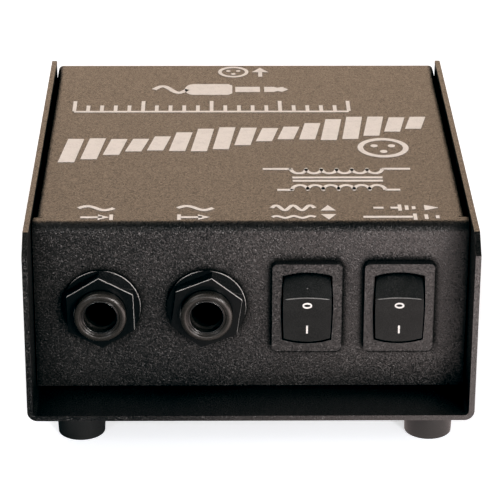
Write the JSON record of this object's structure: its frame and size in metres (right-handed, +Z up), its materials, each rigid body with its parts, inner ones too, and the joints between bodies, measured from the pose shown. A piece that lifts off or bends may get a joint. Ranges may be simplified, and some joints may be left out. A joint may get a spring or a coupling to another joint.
{
  "type": "direct injection box",
  "caption": "Compact passive direct injection box: folded steel channel base and inset cover, front plug sockets and rocker switches, rear three-pin outlet, rubber feet.",
  "frame": {"origin": "centre of the whole object's bounding box in plan, level with the bottoms of the feet", "axes": "+Z up; the front panel with the sockets and switches faces -Y; +X is to the right seen from the front"},
  "size_m": [0.1, 0.1146, 0.0501],
  "materials": {
    "powder_black": "fine-textured semi-gloss powder coat",
    "print_white": "satin screen-printed ink",
    "zinc_steel": "bright zinc plate",
    "black_screw": "black oxide, semi-gloss",
    "rubber_black": "matt moulded rubber",
    "pad_foam": "closed-cell acrylic foam tape",
    "socket_plastic": "satin moulded nylon",
    "gloss_black": "gloss black",
    "spring_nickel": "nickel-plated spring strip",
    "bezel_plastic": "fine-grained moulded nylon",
    "rocker_plastic": "smooth satin moulded nylon",
    "plunger_nylon": "natural nylon",
    "contact_brass": "bare copper alloy",
    "tinned_brass": "bright tin plate",
    "outlet_black": "black chromate on die-cast zinc, satin",
    "insert_plastic": "glass-filled moulded plastic",
    "pin_gold": "gold plate",
    "lamination_steel": "varnished silicon-steel sheets",
    "bobbin_nylon": "natural nylon",
    "enamel_copper": "enamelled copper wire",
    "coil_tape": "polyester tape",
    "phenolic_board": "paper phenolic sheet",
    "resistor_lacquer": "lacquered resistor body",
    "wire_red": "PVC insulation",
    "wire_white": "PVC insulation",
    "wire_green": "PVC insulation"
  },
  "bodies": {
    "box": {"base_channel": "powder_black", "cover": "powder_black", "clinch_nuts": "zinc_steel", "cover_screws": "black_screw", "foot_front_left": "rubber_black", "foot_front_right": "rubber_black", "foot_rear_left": "rubber_black", "foot_rear_right": "rubber_black", "foot_pads": "pad_foam", "in_jack_housing": "socket_plastic", "in_jack_washer": "gloss_black", "in_jack_nut": "gloss_black", "in_jack_sleeve_contact": "spring_nickel", "in_jack_switch_contact": "spring_nickel", "out_jack_housing": "socket_plastic", "out_jack_washer": "gloss_black", "out_jack_nut": "gloss_black", "out_jack_sleeve_contact": "spring_nickel", "out_jack_switch_contact": "spring_nickel", "level_switch_housing": "bezel_plastic", "level_terminals": "tinned_brass", "ground_switch_housing": "bezel_plastic", "ground_terminals": "tinned_brass", "outlet_shell": "outlet_black", "outlet_insert": "insert_plastic", "outlet_pins": "pin_gold", "outlet_screws": "black_screw", "outlet_nuts": "zinc_steel", "transformer_core": "lamination_steel", "transformer_bobbin": "bobbin_nylon", "transformer_winding": "enamel_copper", "transformer_tape": "coil_tape", "transformer_clamp": "zinc_steel", "transformer_screws": "zinc_steel", "transformer_nuts": "zinc_steel", "tag_strip_board": "phenolic_board", "tag_strip_lugs": "tinned_brass", "tag_strip_screw": "zinc_steel", "tag_strip_nut": "zinc_steel", "pad_resistors": "resistor_lacquer", "ground_lug": "tinned_brass", "hot_wires": "wire_red", "cold_wires": "wire_white", "ground_wires": "wire_green"},
    "level_rocker_body": {"level_rocker": "rocker_plastic", "level_plunger": "plunger_nylon", "level_plunger_spring": "spring_nickel"},
    "level_contact_body": {"level_seesaw_contact": "contact_brass"},
    "ground_rocker_body": {"ground_rocker": "rocker_plastic", "ground_plunger": "plunger_nylon", "ground_plunger_spring": "spring_nickel"},
    "ground_contact_body": {"ground_seesaw_contact": "contact_brass"},
    "in_tip_spring_body": {"in_jack_tip_spring": "spring_nickel"},
    "out_tip_spring_body": {"out_jack_tip_spring": "spring_nickel"}
  },
  "joints": [
    {"name": "level_rocker_tilt", "type": "hinge", "parent": "box", "child": "level_rocker_body", "pos_m": [0.0121, -0.0441, 0.0296], "axis": [1, 0, 0], "range_deg": [0, 22]},
    {"name": "level_contact_tilt", "type": "hinge", "parent": "box", "child": "level_contact_body", "pos_m": [0.0121, -0.0367, 0.0296], "axis": [1, 0, 0], "range_deg": [-13.2, 0]},
    {"name": "ground_rocker_tilt", "type": "hinge", "parent": "box", "child": "ground_rocker_body", "pos_m": [0.0319, -0.0441, 0.0296], "axis": [1, 0, 0], "range_deg": [0, 22]},
    {"name": "ground_contact_tilt", "type": "hinge", "parent": "box", "child": "ground_contact_body", "pos_m": [0.0319, -0.0367, 0.0296], "axis": [1, 0, 0], "range_deg": [-13.2, 0]},
    {"name": "in_tip_spring_flex", "type": "hinge", "parent": "box", "child": "in_tip_spring_body", "pos_m": [-0.0322, -0.0201, 0.0344], "axis": [-1, 0, 0], "range_deg": [0, 5.5]},
    {"name": "out_tip_spring_flex", "type": "hinge", "parent": "box", "child": "out_tip_spring_body", "pos_m": [-0.0095, -0.0201, 0.0344], "axis": [-1, 0, 0], "range_deg": [0, 5.5]}
  ],
  "couplings": [
    {"joint": "level_contact_tilt", "follows": "level_rocker_tilt", "ratio": -0.6},
    {"joint": "ground_contact_tilt", "follows": "ground_rocker_tilt", "ratio": -0.6}
  ]
}
